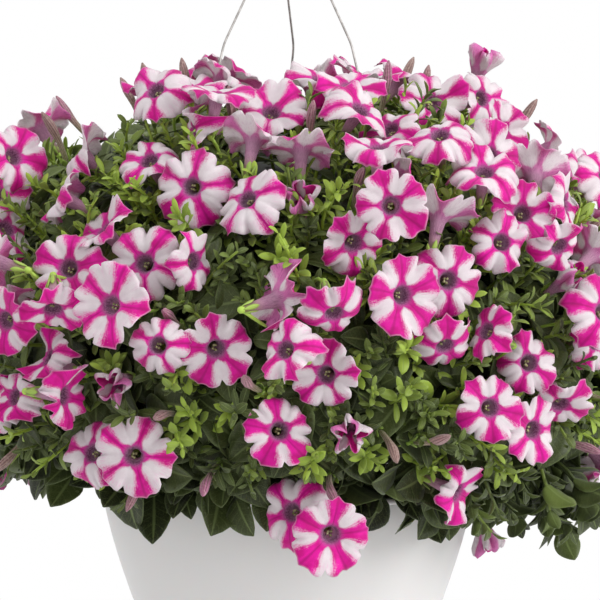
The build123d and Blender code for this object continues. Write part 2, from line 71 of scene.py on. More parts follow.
def mound(azimuth, angle, lift):
    """Points and outward normals on the mound, for arrays of degrees and of lifts off the leaves."""
    azimuth, angle, lift = np.broadcast_arrays(*(np.asarray(x, float) for x in (azimuth, angle, lift)))
    power = 2 / MOUND_POWER

    def outline(t):
        up = np.where(t >= 0, MOUND_UP, MOUND_DOWN)
        radius = (MOUND_A + lift) * np.clip(np.cos(np.radians(t)), 0, 1) ** power
        rise = (up + lift) * np.abs(np.sin(np.radians(t))) ** power
        return radius, MOUND_MIDDLE + np.copysign(rise, t)

    radius, height = outline(angle)
    r_a, h_a = outline(angle - SLOPE_STEP)
    r_b, h_b = outline(angle + SLOPE_STEP)
    a = np.radians(azimuth)
    spot = np.stack([radius * np.cos(a), radius * np.sin(a), RIM_Z + height], -1)
    out, up = h_b - h_a, r_a - r_b
    normal = np.stack([out * np.cos(a), out * np.sin(a), up], -1)
    return spot, normal / np.linalg.norm(normal, axis=-1, keepdims=True)


def islands(node):
    """The separate solids of a CAD node: a list of (points, faces) arrays."""
    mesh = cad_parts[node].data
    points = np.empty(len(mesh.vertices) * 3)
    mesh.vertices.foreach_get("co", points)
    points = points.reshape(-1, 3)
    mesh.calc_loop_triangles()
    faces = np.empty(len(mesh.loop_triangles) * 3, int)
    mesh.loop_triangles.foreach_get("vertices", faces)
    keys = np.round(points / WELD).astype(np.int64)
    _, first, same = np.unique(keys, axis=0, return_index=True, return_inverse=True)
    points = points[first]
    faces = same.ravel()[faces].reshape(-1, 3)
    label = np.arange(len(points))
    while True:
        low = label[faces].min(axis=1)
        new = label.copy()
        for k in range(3):
            np.minimum.at(new, faces[:, k], low)
        new = new[new]
        if (new == label).all():
            break
        label = new
    return [(points, faces[label[faces[:, 0]] == name]) for name in np.unique(label)]


def spread(points, faces):
    """Centroid and principal directions of a surface, the flattest direction first."""
    corners = points[faces]
    area = np.linalg.norm(np.cross(corners[:, 1] - corners[:, 0], corners[:, 2] - corners[:, 0]), axis=1)
    middle = corners.mean(axis=1)
    centre = (middle * area[:, None]).sum(0) / area.sum()
    away = middle - centre
    sizes, directions = np.linalg.eigh((away * area[:, None]).T @ away)
    return centre, directions.T, sizes


def flower_seats(node):
    """(centre of the limb, facing) of each open flower in a CAD node."""
    seats = []
    for points, faces in islands(node):
        centre, directions, _ = spread(points, faces)
        axis = directions[0]
        along = (points[faces].reshape(-1, 3) - centre) @ axis
        if -along.min() < along.max():
            axis, along = -axis, -along
        seats.append((centre + axis * along.max(), axis))
    return seats


def bud_seats(node):
    """(foot, direction, length) of each bud or faded flower in a CAD node."""
    seats = []
    for points, faces in islands(node):
        centre, directions, sizes = spread(points, faces)
        axis = directions[2] if sizes[1] - sizes[0] < sizes[2] - sizes[1] else directions[0]
        out = centre - AXIS - np.array([0, 0, MOUND_MIDDLE])
        axis = axis if axis @ out > 0 else -axis
        along = (points[faces].reshape(-1, 3) - centre) @ axis
        seats.append((centre + axis * along.min(), axis, along.max() - along.min()))
    return seats


# ---- growing meshes ----
class Batch:
    """One mesh grown from many small parts. Each point carries two colour-like vectors:
    'place' says where it is on its petal or leaf, and 'tint' how its flower or leaf varies."""

    def __init__(self):
        self.points, self.quads, self.place, self.tint, self.slots = [], [], [], [], []
        self.count = 0

    def add(self, points, quads, place, tint, slot=0):
        self.points.append(points)
        self.quads.append(quads + self.count)
        self.place.append(np.broadcast_to(place, points.shape))
        self.tint.append(np.broadcast_to(tint, points.shape))
        self.slots.append(np.full(len(quads), slot))
        self.count += len(points)

    def build(self, name, materials, body="basket", record_slot=None):
        points, quads = np.concatenate(self.points), np.concatenate(self.quads)
        mesh = bpy.data.meshes.new(name)
        mesh.vertices.add(len(points))
        mesh.vertices.foreach_set("co", points.astype(np.float32).ravel())
        mesh.loops.add(quads.size)
        mesh.loops.foreach_set("vertex_index", quads.astype(np.int32).ravel())
        mesh.polygons.add(len(quads))
        mesh.polygons.foreach_set("loop_start", np.arange(0, quads.size, 4, dtype=np.int32))
        mesh.polygons.foreach_set("material_index", np.concatenate(self.slots).astype(np.int32))
        mesh.polygons.foreach_set("use_smooth", np.ones(len(quads), bool))
        for label, rows in (("place", self.place), ("tint", self.tint)):
            layer = mesh.attributes.new(label, "FLOAT_VECTOR", "POINT")
            layer.data.foreach_set("vector", np.concatenate(rows).astype(np.float32).ravel())
        mesh.update(calc_edges=True)
        mesh.validate()
        for material in materials:
            mesh.materials.append(material)
        piece = bpy.data.objects.new(name, mesh)
        bpy.context.scene.collection.objects.link(piece)
        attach(piece, body)
        return piece


def unit(vector):
    return vector / np.linalg.norm(vector)


def basis(direction, roll=0.0):
    """Rows are the x, y and z directions of a frame whose z is direction, turned by roll."""
    z = unit(np.asarray(direction, float))
    side = np.cross([0.0, 0.0, 1.0], z)
    side = np.array([1.0, 0.0, 0.0]) if np.linalg.norm(side) < 1e-3 else unit(side)
    up = np.cross(z, side)
    x = side * math.cos(roll) + up * math.sin(roll)
    return np.stack([x, np.cross(z, x), z])


def round_angles(count):
    return np.linspace(0, 2 * math.pi, count, endpoint=False)


def grid_quads(rows, columns, closed, flip=False):
    """Quads of a grid of points, closed round its columns or open."""
    wide = columns if closed else columns - 1
    i, j = np.meshgrid(np.arange(rows - 1), np.arange(wide), indexing="ij")
    k = (j + 1) % columns
    near, far = i * columns, (i + 1) * columns
    quads = np.stack([near + j, near + k, far + k, far + j], -1).reshape(-1, 4)
    return quads[:, ::-1] if flip else quads


def round_quads(rows, columns):
    """Quads of a round grid of points, with an even number of columns and both its ends closed."""
    k = np.arange(1, columns - 2, 2)
    end = np.stack([0 * k, k, k + 1, k + 2], -1)
    return np.concatenate([grid_quads(rows, columns, True), end[:, ::-1], end + (rows - 1) * columns])


def grid_normals(grid, closed):
    """Normals of a grid of points, from its row and column directions."""
    down = np.gradient(grid, axis=0)
    if closed:
        across = np.roll(grid, -1, axis=1) - np.roll(grid, 1, axis=1)
    else:
        across = np.gradient(grid, axis=1)
    normal = np.cross(down, across)
    return normal / np.maximum(np.linalg.norm(normal, axis=-1, keepdims=True), 1e-12)


def turned(a, r, z, frame3, foot, bow=0.0):
    """A round grid: rings of radius r at heights z, pushed sideways by bow, in a frame at foot."""
    return np.stack([r * np.cos(a) + bow, r * np.sin(a), z], -1) @ frame3 + foot


def place_on(grid, across, along):
    place = np.zeros(grid.shape)
    place[..., 0], place[..., 1] = across, along
    return place


def thick(grid, place, thickness, closed):
    """A sheet with two faces and closed edges. The third number of place becomes 1 behind."""
    rows, columns = grid.shape[:2]
    behind = grid - grid_normals(grid, closed) * thickness
    back_place = place.copy()
    back_place[..., 2] = 1.0
    size = rows * columns
    quads = [grid_quads(rows, columns, closed, True), grid_quads(rows, columns, closed) + size]
    edge = np.arange(columns)
    runs = [edge[::-1], (rows - 1) * columns + edge]
    if not closed:
        side = np.arange(rows) * columns
        runs += [side, (side + columns - 1)[::-1]]
    for run in runs:
        a, b = run, np.roll(run, -1)
        if not closed:
            a, b = a[:-1], b[:-1]
        quads.append(np.stack([b, a, a + size, b + size], -1))
    points = np.concatenate([grid.reshape(-1, 3), behind.reshape(-1, 3)])
    places = np.concatenate([place.reshape(-1, 3), back_place.reshape(-1, 3)])
    return points, np.concatenate(quads), places


NO_STEM = [0.31, 0.17, 0.93]
STEM_PLACE = (0.5, 0.5, 0.0)


def tube(batch, line, radius, tint, slot, sides=6):
    """A round stem along a line of points, with a radius or one per point. Its sides are even in
    number, and start square to NO_STEM, a direction that no stem runs along."""
    line = np.asarray(line, float)
    radius = np.broadcast_to(radius, len(line))
    heading = np.gradient(line, axis=0)
    heading /= np.linalg.norm(heading, axis=1, keepdims=True)
    side = np.cross(heading, NO_STEM)
    side /= np.maximum(np.linalg.norm(side, axis=1, keepdims=True), 1e-9)
    up = np.cross(heading, side)
    a = round_angles(sides)
    ring = side[:, None] * np.cos(a)[:, None] + up[:, None] * np.sin(a)[:, None]
    grid = line[:, None] + ring * radius[:, None, None]
    batch.add(grid.reshape(-1, 3), round_quads(len(line), sides), STEM_PLACE, tint, slot)


def arc(start, end, lean, steps):
    """A curved line from start to end that leans out along a vector in its middle."""
    t = np.linspace(0, 1, steps)[:, None]
    return start * (1 - t) + end * t + np.asarray(lean) * 4 * t * (1 - t)


def bell(value, middle, width):
    """A smooth hump of height 1 round a middle value."""
    return np.exp(-(((value - middle) / width) ** 2))


# ---- flowers ----
PETAL, GREEN, POLLEN = 0, 1, 2
PETALS = 5
COLUMNS = 70

TUBE_LENGTH = 27 * MM
THROAT = 4.7 * MM
THROAT_DEPTH = 2.6 * MM
THROAT_LIP = 0.2
TUBE_SHARES = np.array([0.0, 0.22, 0.45, 0.7, 0.88, 1.0])
TUBE_RADII = np.array([1.6, 2.3, 2.9, 3.6, 4.2, THROAT / MM]) * MM
FLARE = np.linspace(0, 1, 11)[1:]
FLARE_POWER = 1.1

# How far the margin goes in or out, in shares of the flower's radius, and how wide that is in
# shares of half a petal. A petal's midrib is at 0 and the notch beside it at 1.
NOTCH, NOTCH_RANGE, NOTCH_WIDTH = 0.13, 0.06, 0.10
SHOULDER, SHOULDER_POWER = 0.08, 5
POINT, POINT_WIDTH = 0.05, 0.12
DENT, DENT_PLACE, DENT_WIDTH = 0.03, 0.24, 0.12
PETAL_RANGE, CRINKLE, CRINKLES = 0.055, 0.022, 13
MARGIN_POWER = 2.2

# How far the limb's folds rise or fall.
GROOVE, GROOVE_WIDTH = 0.9 * MM, 0.12
CROWN, CROWN_PLACE, CROWN_WIDTH = 0.7 * MM, 0.55, 0.3
SLIT, SLIT_WIDTH = 1.5 * MM, 0.12
FRILL, FRILLS = 0.8 * MM, 15
FINE_FRILL, FINE_FRILLS = 0.6 * MM, 11
PETAL_LIFT = 2.6 * MM
TIP_DROOP, TIP_WIDTH = 2.4 * MM, 0.3
WAVES, WAVE_SHARE = 4, 1.9
ROLL_BACK = (0.04, 0.27)
WARP = 2.4
BAND_RANGE, WIDEST_BAND = 0.22, 1.1
PETAL_THICKNESS = 0.35 * MM


def petal_phase(turn):
    """How far round a petal each angle is: 0 at its midrib and 1 at the notch."""
    return np.abs(((PETALS * turn / (2 * math.pi) + 0.5) % 1) - 0.5) * 2


def corolla_rows(size, cone, cup):
    """Radius, rise and share along the petal of each ring of a corolla, from its foot to its margin."""
    limb_r = THROAT + (size - THROAT) * FLARE**FLARE_POWER
    lift = np.where(FLARE < THROAT_LIP, FLARE / THROAT_LIP, 1.0)
    limb_z = -THROAT_DEPTH * (1 - lift) ** 2 + cone * (limb_r - THROAT) + cup * (FLARE**2) * size
    radius = np.concatenate([TUBE_RADII, limb_r])
    rise = np.concatenate([(TUBE_SHARES - 1) * TUBE_LENGTH - THROAT_DEPTH, limb_z])
    share = np.concatenate([TUBE_SHARES - 1, FLARE])
    return radius, rise, share


def corolla(batch, centre, direction, size, roll, cone, cup, ruffle, band):
    """One corolla: a tube that flares to five fused petals with a notch between each two."""
    a = round_angles(COLUMNS)
    phase = petal_phase(a)
    radius, rise, share = corolla_rows(size, cone, cup)
    out = np.clip(share, 0, 1)[:, None]
    wild = rng.normal(0, 1, 8)
    petal = rng.normal(0, 1, PETALS)
    midribs = np.arange(PETALS + 1) * 2 * math.pi / PETALS
    own = np.interp(a, midribs, np.append(petal, petal[0]))
    cut = NOTCH + NOTCH_RANGE * np.interp(a, midribs, np.append(wild[:PETALS], wild[0]))
    margin = 1 - cut * bell(phase, 1, NOTCH_WIDTH) - SHOULDER * phase**SHOULDER_POWER
    margin = margin + POINT * bell(phase, 0, POINT_WIDTH) + PETAL_RANGE * own
    margin = margin - DENT * bell(phase, DENT_PLACE, DENT_WIDTH)
    margin = margin + CRINKLE * np.sin(CRINKLES * a + wild[5])
    r = radius[:, None] * (1 + (margin[None] - 1) * out**MARGIN_POWER)
    groove = -GROOVE * bell(phase, 0, GROOVE_WIDTH) + CROWN * bell(phase, CROWN_PLACE, CROWN_WIDTH)
    slit = -SLIT * bell(phase, 1, SLIT_WIDTH)
    wave = sum(
        (0.5 + 0.35 * abs(wild[k])) * MM * np.sin((k + 2) * a + 2.1 * wild[-1 - k]) for k in range(WAVES)
    )
    frill = FRILL * np.sin(FRILLS * a + wild[2]) + FINE_FRILL * np.sin(FINE_FRILLS * a + wild[3])
    z = rise[:, None] + groove * out + (slit + wave * WAVE_SHARE) * out**2 * ruffle
    z = z + (frill * out**4 + PETAL_LIFT * own * out**2) * ruffle
    z = z - TIP_DROOP * bell(phase, 0, TIP_WIDTH) * out**6 * ruffle
    roll_back = rng.uniform(*ROLL_BACK) * (1 + 0.8 * np.sin(2 * a + wild[6])) * size
    z = z - roll_back * out**4
    z = z + rng.uniform(-WARP, WARP) * MM * np.sin(PETALS * a + wild[7]) * out**3
    grid = turned(a, r, z, basis(direction, roll), centre)
    place = place_on(grid, phase[None], share[:, None])
    tint = np.zeros(grid.shape) + (rng.random(), band, rng.random())
    tint[..., 1] = np.clip(tint[..., 1] + BAND_RANGE * own, 0, WIDEST_BAND)
    tint = tint.reshape(-1, 3)
    points, quads, places = thick(grid, place, PETAL_THICKNESS, True)
    batch.add(points, quads, places, np.concatenate([tint, tint]), PETAL)
    stamens(batch, centre, direction)


STAMENS = 4
STAMEN_TURN = 1.3
STAMEN_LEAN = 1.5 * MM
STAMEN_FOOT = 12 * MM
FILAMENT = 0.35 * MM
ANTHER = 1.2 * MM
ANTHER_RADII = np.array([0.5, 1.0, 0.5]) * MM


def stamens(batch, centre, direction):
    """Four pale filaments with olive heads just inside the throat."""
    frame3 = basis(direction, 0.6)
    for k in range(STAMENS):
        a = STAMEN_TURN * k + rng.uniform(0, 0.6)
        lean = (frame3[0] * math.cos(a) + frame3[1] * math.sin(a)) * STAMEN_LEAN
        foot = centre - frame3[2] * STAMEN_FOOT
        tip = centre + lean - frame3[2] * rng.uniform(4.2, 6.2) * MM
        tube(batch, arc(foot, tip, lean * 0.2, 3), FILAMENT, (0.5, 0.2, 0.5), POLLEN)
        head = tip + frame3[2] * ANTHER
        tube(batch, np.stack([tip, (tip + head) / 2, head]), ANTHER_RADII, (0.0, 0.9, 0.5), POLLEN)


SEPALS = 5
SEPAL_RING = 2.2 * MM
CUP_HEIGHTS = np.array([-2.6, -1.6, 0.0, 2.4])
CUP_RADII = np.array([0.9, 2.1, 2.5, 2.2]) * MM
STALK_RADII = np.linspace(0.95, 1.25, 6) * MM


def calyx(batch, foot, direction, pedicel_end):
    """Five narrow spoon-shaped sepals round the foot of a flower, and its stalk."""
    frame3 = basis(direction, rng.uniform(0, 6))
    tint = (0.62 + 0.3 * rng.random(), rng.random(), 1.0)
    for k in range(SEPALS):
        a = 2 * math.pi * k / SEPALS + rng.uniform(-0.15, 0.15)
        out = frame3[0] * math.cos(a) + frame3[1] * math.sin(a)
        length = rng.uniform(11, 15) * MM
        open_angle = rng.uniform(0.15, 0.65)
        heading = frame3[2] * math.cos(open_angle) + out * math.sin(open_angle)
        leaf(batch, foot + out * SEPAL_RING, heading, -out, length, rng.uniform(2.6, 3.6) * MM, tint,
             curl=-0.25, widest=0.6, blunt=0.7, slot=GREEN, rows=7, columns=3)
    cup = CUP_HEIGHTS[:, None] * MM * frame3[2] + foot
    tube(batch, cup, CUP_RADII, tint, GREEN, 8)
    line = arc(pedicel_end, foot, rng.normal(0, 2.5 * MM, 3), len(STALK_RADII))
    tube(batch, line, STALK_RADII, tint, GREEN)


# ---- leaves ----
LEAF_THICKNESS = 0.25 * MM
LEAF_FOOT = 0.05
LEAF_TIP = 0.02
LEAF_FOLD = 0.16


def leaf(batch, foot, heading, up, length, width, tint, curl, blunt, widest=0.4, slot=0, rows=9,
         columns=5):
    """One leaf from its foot along heading, its face towards up, bending away by curl radians as it
    goes. It is widest at that share of its length; a smaller blunt gives a rounder outline."""
    heading = unit(heading)
    up = up - heading * (up @ heading)
    norm = np.linalg.norm(up)
    up = up / norm if norm > 1e-6 else basis(heading)[1]
    side = np.cross(up, heading)
    t = np.linspace(0, 1, rows)
    bend = curl * t
    along = np.cumsum(np.cos(bend)) / rows * length
    fall = -np.cumsum(np.sin(bend)) / rows * length
    spine = foot + heading * (along - along[0])[:, None] + up * (fall - fall[0])[:, None]
    peak = np.clip(t, 1e-4, 1) ** (math.log(0.5) / math.log(widest))
    half = width / 2 * (np.sin(math.pi * peak) ** blunt + LEAF_FOOT)
    half[-1] = width * LEAF_TIP
    s = np.linspace(-1, 1, columns)
    ripple = rng.normal(0, 0.03) + 0.04 * np.sin(3.1 * t[:, None] * 3 + 2 * s)
    lift = (np.abs(s) * LEAF_FOLD + ripple * np.abs(s)) * half[:, None] * 2
    local_up = up * np.cos(bend)[:, None] + heading * np.sin(bend)[:, None]
    grid = spine[:, None] + side * (s * half[:, None])[..., None] + local_up[:, None] * lift[..., None]
    place = place_on(grid, np.abs(s)[None], t[:, None])
    points, quads, places = thick(grid, place, LEAF_THICKNESS, False)
    batch.add(points, quads, places, tint, slot)


SPOON = {"widest": 0.60, "blunt": 0.62, "rows": 8, "columns": 3}
EGG = {"widest": 0.46, "blunt": 0.80, "rows": 15, "columns": 5}
BROAD = 0.4
SHOOT_RADII = np.linspace(1.5, 0.9, 7) * MM
LOWEST_LEAF = 0.28
LEAF_TURN = 2.4


def shoot(batch, foot, direction, length, size, tint, leaves, flowers, slim):
    """A side shoot: a stem with leaves up it and a tuft at its tip, clear of the flowers. Narrow
    leaves are spoon-shaped, and broad ones egg-shaped; slim is the least width over length."""
    outline = EGG if slim > BROAD else SPOON
    lean = rng.normal(0, 0.10, 3) * length
    tip = foot + direction * length
    line = arc(foot, tip, lean, len(SHOOT_RADII))
    tube(batch, line, SHOOT_RADII, (tint[0] + 0.1, tint[1], 1.0), 0)
    for k in range(leaves):
        share = LOWEST_LEAF + (1 - LOWEST_LEAF) * (k / (leaves - 1)) ** 0.8
        spot = line[0] * (1 - share) + line[-1] * share + lean * 4 * share * (1 - share)
        frame3 = basis(direction, LEAF_TURN * k + rng.uniform(-0.4, 0.4))
        open_angle = 1.15 - 0.75 * share + rng.uniform(-0.2, 0.2)
        heading = frame3[2] * math.cos(open_angle) + frame3[0] * math.sin(open_angle)
        long = size * (1.25 - 0.55 * share) * rng.uniform(0.8, 1.2)
        if flowers.free_length(spot, heading, long) < long:
            continue
        width = long * rng.uniform(slim, slim * 1.6)
        leaf(batch, spot, heading, frame3[2] - frame3[0] * 0.2, long, width,
             (tint[0] + rng.uniform(-0.08, 0.08), rng.random(), 1.0), rng.uniform(0.1, 0.9), **outline)


# ---- materials ----
def nodes_of(name):
    """A new node material, the graph of its node tree and its shader."""
    material = bpy.data.materials.new(name)
    material.use_nodes = True
    tree = material.node_tree
    return material, Graph(tree), tree.nodes["Principled BSDF"]


def surface(g, shader, colour, rough, specular=0.5, sheen=0.0):
    """The colour of a surface, and how rough, shiny and downy it is."""
    g.link(colour, shader.inputs["Base Color"])
    shader.inputs["Roughness"].default_value = rough
    shader.inputs["Specular IOR Level"].default_value = specular
    shader.inputs["Sheen Weight"].default_value = sheen


class Graph:
    """Short words for building a node tree."""

    def __init__(self, tree):
        self.tree = tree

    def link(self, a, b):
        self.tree.links.new(a, b)

    def node(self, kind, inputs=(), **settings):
        """A new node with its settings, and its inputs set to values or linked to outputs."""
        made = self.tree.nodes.new(kind)
        for key, value in settings.items():
            setattr(made, key, value)
        for key, value in dict(inputs).items():
            if isinstance(value, bpy.types.NodeSocket):
                self.link(value, made.inputs[key])
            else:
                made.inputs[key].default_value = value
        return made

    def maths(self, operation, a, b=0.0, clamp=False):
        made = self.node("ShaderNodeMath", {0: a, 1: b}, operation=operation, use_clamp=clamp)
        return made.outputs[0]

    def plus(self, a, b):
        return self.maths("ADD", a, b)

    def minus(self, a, b):
        return self.maths("SUBTRACT", a, b)

    def times(self, a, b):
        return self.maths("MULTIPLY", a, b)

    def swing(self, value, reach):
        """A value round 0.5, turned into a swing to both sides of 0."""
        return self.times(self.minus(value, 0.5), reach)

    def step(self, value, low, high):
        """A smooth step from 0 at low to 1 at high, which falls where low is the greater."""
        ends = {"Value": value, "From Min": low, "From Max": high}
        return self.node("ShaderNodeMapRange", ends, interpolation_type="SMOOTHSTEP").outputs["Result"]

    def mix(self, factor, a, b):
        made = self.node("ShaderNodeMix", {"Factor": factor, "A": a, "B": b}, data_type="RGBA")
        return made.outputs["Result"]

    def field(self, name):
        made = self.node("ShaderNodeAttribute", attribute_name=name)
        return self.node("ShaderNodeSeparateXYZ", {0: made.outputs["Vector"]}).outputs

    def noise(self, vector, scale, detail=3.0, rough=0.55):
        inputs = {"Vector": vector, "Scale": scale, "Detail": detail, "Roughness": rough}
        return self.node("ShaderNodeTexNoise", inputs).outputs["Fac"]

    def vector(self, x, y, z):
        return self.node("ShaderNodeCombineXYZ", {0: x, 1: y, 2: z}).outputs[0]

    def coordinates(self):
        return self.node("ShaderNodeTexCoord").outputs["Object"]

    def bump(self, shader, height, strength, distance):
        inputs = {"Strength": strength, "Distance": distance, "Height": height}
        made = self.node("ShaderNodeBump", inputs)
        self.link(made.outputs[0], shader.inputs["Normal"])

    def let_through(self, shader, colour, share):
        """Mixes in light that shines through from behind."""
        through = self.node("ShaderNodeBsdfTranslucent", {"Color": colour}).outputs[0]
        both = self.node("ShaderNodeMixShader", {0: share, 1: shader.outputs[0], 2: through})
        self.link(both.outputs[0], self.tree.nodes["Material Output"].inputs["Surface"])


def rgb(*levels):
    """A colour from its red, green and blue sRGB numbers of 0 to 255."""
    shares = [level / 255 for level in levels]
    return tuple(s / 12.92 if s <= 0.04045 else ((s + 0.055) / 1.055) ** 2.4 for s in shares) + (1.0,)


def dimmed(colour, share):
    return tuple(c * share for c in colour[:3]) + (1.0,)


def petal_material():
    """Magenta bands along the midribs, white between them, a mauve throat, paler backs. Across a
    petal, 0 is the midrib and 1 the notch. Along it, -1 is the tube's foot, 0 its mouth and 1 the
    margin."""
    material, g, shader = nodes_of("petal")
    across, along, behind = g.field("place")
    one, two, three = g.field("tint")
    spot = g.coordinates()
    seed = g.times(one, 37.0)
    ray = g.vector(g.times(across, 9.0), g.times(along, 1.4), seed)
    streak = g.noise(ray, 2.2, 3.0, 0.6)
    speck = g.noise(spot, 900.0, 4.0, 0.7)
    cloud = g.noise(spot, 110.0, 2.0)
    width = g.plus(g.times(two, 0.40), 0.14)
    spread_out = g.times(g.step(along, 0.30, 1.0), g.plus(g.times(three, 0.24), 0.06))
    mouth = g.times(g.maths("POWER", g.step(along, 0.46, 0.0), 2.4), 1.1)
    width = g.plus(g.plus(width, spread_out), mouth)
    feather = g.plus(g.times(g.step(along, 0.4, 1.0), 0.45), 0.22)
    rough_edge = g.swing(streak, 0.50)
    grain = g.swing(speck, feather)
    blur = g.swing(cloud, 0.46)
    distance = g.plus(g.plus(across, rough_edge), g.plus(grain, blur))
    gap = g.minus(distance, width)
    white_share = g.step(gap, -0.16, 0.22)
    bright = g.mix(g.step(cloud, 0.35, 0.65), rgb(218, 2, 146), rgb(244, 20, 178))
    bright = g.mix(g.times(three, 0.35), bright, rgb(180, 0, 120))
    deep = g.mix(g.times(g.step(across, 0.13, 0.0), 0.5), bright, rgb(158, 0, 98))
    veins = g.node("ShaderNodeTexWave", {"Scale": 8.0, "Distortion": 3.0, "Detail Scale": 2.0},
                   wave_type="BANDS", bands_direction="X")
    g.link(g.vector(across, g.times(along, 0.10), seed), veins.inputs["Vector"])
    vein = g.step(veins.outputs["Fac"], 0.70, 1.0)
    deep = g.mix(g.times(vein, 0.34), deep, rgb(160, 2, 94))
    pale = g.mix(g.step(cloud, 0.3, 0.7), rgb(240, 233, 236), rgb(228, 218, 223))
    pale = g.mix(g.times(vein, 0.34), pale, rgb(198, 186, 188))
    blush = g.times(g.step(streak, 0.50, 0.72), g.step(along, 0.45, 0.9))
    pale = g.mix(g.times(blush, 0.40), pale, rgb(238, 150, 205))
    front = g.mix(white_share, deep, pale)
    # A painted highlight: a thin pale line along each petal's margin.
    front = g.mix(g.times(g.step(along, 0.95, 1.0), 0.40), front, rgb(240, 224, 234))
    uneven = g.plus(along, g.times(streak, 0.16))
    halo = g.step(uneven, 0.36, 0.12)
    front = g.mix(g.times(halo, 0.60), front, rgb(184, 108, 166))
    ring = g.step(uneven, 0.24, 0.08)
    throat = g.mix(g.step(speck, 0.42, 0.60), rgb(122, 72, 108), rgb(176, 124, 160))
    throat = g.mix(g.step(along, -0.02, -0.3), throat, rgb(236, 204, 226))
    front = g.mix(ring, front, throat)
    mesh = g.vector(g.times(across, 16.0), g.times(along, 3.0), seed)
    net = g.step(g.noise(mesh, 2.0, 2.0), 0.50, 0.66)
    back_white = g.mix(g.times(net, 0.34), rgb(236, 230, 232), rgb(186, 130, 172))
    back_pink = g.mix(g.times(net, 0.50), rgb(222, 130, 192), rgb(164, 66, 136))
    back = g.mix(g.step(gap, -0.26, 0.14), back_pink, back_white)
    husk = g.mix(g.times(net, 0.80), rgb(198, 150, 178), rgb(122, 62, 98))
    husk = g.mix(g.step(along, -0.30, -0.95), husk, rgb(150, 142, 92))
    back = g.mix(g.step(along, 0.34, -0.12), back, husk)
    colour = g.mix(behind, front, back)
    surface(g, shader, colour, 0.62, 0.28, 0.12)
    relief = g.plus(g.times(vein, -0.6), g.times(speck, 0.35))
    g.bump(shader, relief, 0.35, 0.4 * MM)
    g.let_through(shader, colour, 0.40)
    return material


def leaf_material(name, dark, light, tip):
    """A leaf: darker or lighter by its tint, with a pale midrib, side veins and fine hair."""
    material, g, shader = nodes_of(name)
    across, along, behind = g.field("place")
    shade, _, _ = g.field("tint")
    spot = g.coordinates()
    mottle = g.noise(spot, 150.0, 3.0)
    fine = g.noise(spot, 1100.0, 3.0, 0.7)
    lightness = g.maths("ADD", shade, g.swing(mottle, 0.35), clamp=True)
    colour = g.mix(lightness, dark, light)
    colour = g.mix(g.step(shade, 0.55, 1.0), colour, tip)
    colour = g.mix(g.times(g.step(fine, 0.45, 0.75), 0.14), colour, rgb(168, 180, 108))
    slant = g.minus(along, g.times(across, 0.22))
    ribs = g.maths("ABSOLUTE", g.maths("SINE", g.times(slant, 21.0)))
    rib = g.times(g.step(ribs, 0.22, 0.0), 0.15)
    mid = g.step(across, 0.13, 0.02)
    line = g.maths("MAXIMUM", rib, g.times(mid, 0.42))
    colour = g.mix(line, colour, rgb(142, 160, 98))
    colour = g.mix(g.times(behind, 0.30), colour, rgb(122, 138, 76))
    colour = g.mix(g.times(g.step(across, 0.84, 1.0), 0.18), colour, rgb(150, 172, 104))
    surface(g, shader, colour, 0.50, 0.38, 0.10)
    relief = g.plus(g.times(line, -0.8), g.times(mottle, 0.5))
    g.bump(shader, relief, 0.5, 0.5 * MM)
    g.let_through(shader, colour, 0.18)
    return material


def bud_material():
    """A mauve and olive bud with spiral folds."""
    material, g, shader = nodes_of("bud")
    across, along, _ = g.field("place")
    one, _, _ = g.field("tint")
    fold = g.maths("SINE", g.plus(g.times(across, 31.4), g.times(along, 9.0)))
    fine = g.noise(g.coordinates(), 700.0, 3.0)
    dusk = g.mix(one, rgb(142, 116, 104), rgb(172, 100, 138))
    dusk = g.mix(g.step(along, 0.75, 0.15), dusk, rgb(140, 142, 92))
    dusk = g.mix(g.step(fold, 0.2, 1.0), dusk, rgb(100, 66, 66))
    dusk = g.mix(g.times(g.step(fine, 0.4, 0.8), 0.45), dusk, rgb(196, 178, 168))
    surface(g, shader, dusk, 0.6, sheen=0.15)
    g.bump(shader, fold, 0.5, 0.4 * MM)
    return material


def plastic_material(name, colour, grain):
    """Moulded plastic: satin, with fine texture and faint cloudiness."""
    material, g, shader = nodes_of(name)
    spot = g.coordinates()
    cloud = g.noise(spot, 9.0, 2.0)
    fine = g.noise(spot, 1600.0, 2.0)
    tone = g.mix(g.step(cloud, 0.3, 0.7), colour, dimmed(colour, 0.965))
    tone = g.mix(g.times(fine, 0.05), tone, rgb(120, 120, 122))
    surface(g, shader, tone, 0.38)
    shader.inputs["Subsurface Weight"].default_value = 0.10
    shader.inputs["Subsurface Scale"].default_value = 4 * MM
    g.bump(shader, fine, grain, 0.1 * MM)
    return material


def metal_material(name, colour, rough):
    """Galvanised or zinc-plated steel with a dull, uneven skin."""
    material, g, shader = nodes_of(name)
    spot = g.coordinates()
    patch = g.noise(spot, 220.0, 4.0)
    fine = g.noise(spot, 2400.0, 2.0)
    tone = g.mix(g.step(patch, 0.35, 0.7), colour, dimmed(colour, 0.62))
    g.link(tone, shader.inputs["Base Color"])
    shader.inputs["Metallic"].default_value = 0.85
    g.link(g.plus(g.times(patch, 0.2), rough), shader.inputs["Roughness"])
    g.bump(shader, fine, 0.25, 0.05 * MM)
    return material


def earth_material(name, dark, light):
    """A crumbly surface: moist peat, roots or pollen."""
    material, g, shader = nodes_of(name)
    spot = g.coordinates()
    crumb = g.noise(spot, 260.0, 6.0, 0.7)
    surface(g, shader, g.mix(g.step(crumb, 0.35, 0.7), dark, light), 0.95)
    g.bump(shader, crumb, 1.0, 1.5 * MM)
    return material


petal = petal_material()
# The leaves' darkest colour is near black: painted shade, used by the core and the deepest leaves for
# the mound's dark inside.
foliage_green = leaf_material("leaf", rgb(8, 14, 3), rgb(90, 106, 44), rgb(160, 186, 64))
flower_green = leaf_material("sepal", rgb(92, 124, 42), rgb(150, 186, 66), rgb(176, 208, 86))
bud_skin = bud_material()
pollen = earth_material("pollen", rgb(112, 108, 66), rgb(186, 182, 138))


